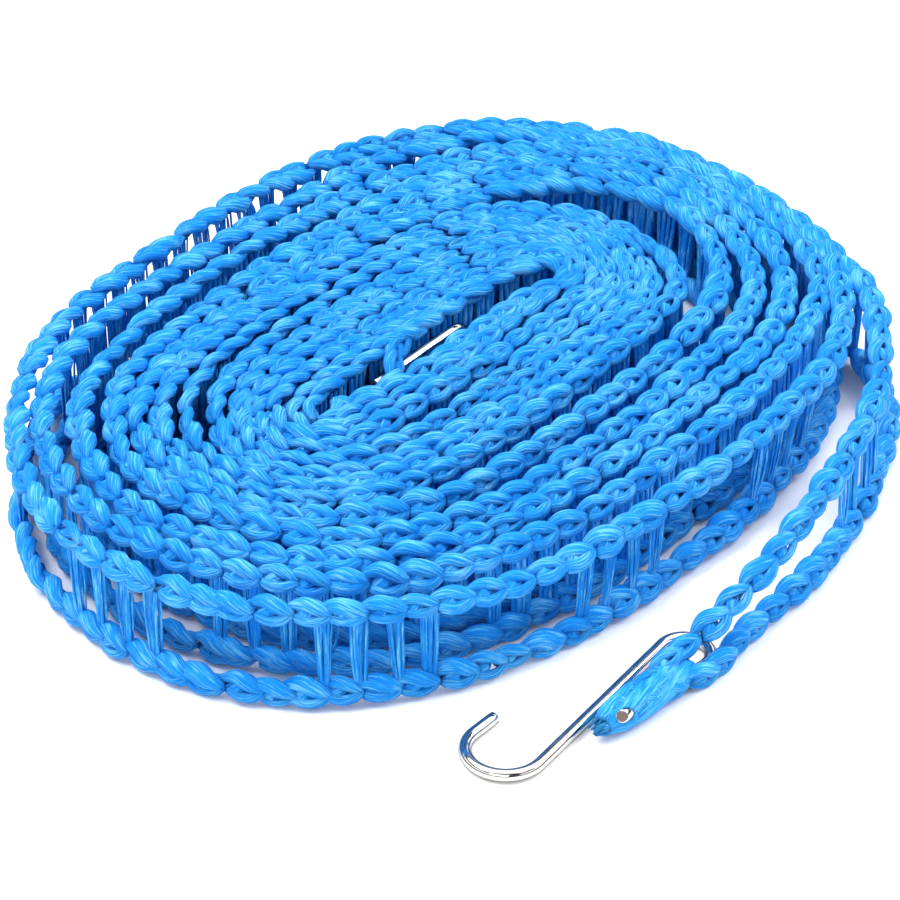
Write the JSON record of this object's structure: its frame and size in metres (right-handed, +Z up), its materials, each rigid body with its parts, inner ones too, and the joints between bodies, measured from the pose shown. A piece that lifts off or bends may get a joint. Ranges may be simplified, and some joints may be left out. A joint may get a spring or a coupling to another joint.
{
  "type": "ladder-tape clothesline",
  "caption": "Flat oval coil of crocheted ladder-tape clothesline, wound on edge, with rungs between two chain cords and a wire hook on each end.",
  "frame": {"origin": "on the surface the coil lies on, under the middle of the whole object's box", "axes": "+X along the coil's long axis, away from the outer hook's open bend, +Y across it, away from the free tail, +Z up"},
  "size_m": [0.2276, 0.1972, 0.0276],
  "materials": {
    "cord": "satin filament yarn",
    "rung_yarn": "satin filament yarn",
    "hook_wire": "bright nickel plate"
  },
  "bodies": {
    "coil": {"upper_cord_coil": "cord", "rung_band_coil": "rung_yarn", "lower_cord_coil": "cord", "upper_cord_tail": "cord", "lower_cord_tail": "cord", "tail_rung_1": "rung_yarn", "tail_rung_2": "rung_yarn", "tail_rung_3": "rung_yarn", "tail_rung_4": "rung_yarn", "tail_rung_5": "rung_yarn", "tail_rung_6": "rung_yarn", "tail_rung_7": "rung_yarn", "tail_rung_8": "rung_yarn", "inner_end_lead": "cord"},
    "outer_hook_end": {"outer_hook": "hook_wire", "outer_end_binding": "cord", "outer_end_upper_lead": "cord", "outer_end_lower_lead": "cord"},
    "inner_hook_end": {"inner_hook": "hook_wire", "inner_end_binding": "cord"}
  },
  "joints": [
    {"name": "outer_hook_lift", "type": "hinge", "parent": "coil", "child": "outer_hook_end", "pos_m": [-0.0242, -0.0936, 0.003], "axis": [0, 1, 0], "range_deg": [0, 70]},
    {"name": "inner_hook_slide", "type": "slide", "parent": "coil", "child": "inner_hook_end", "axis": [1, 0, 0], "range_m": [0, 0.012]}
  ]
}
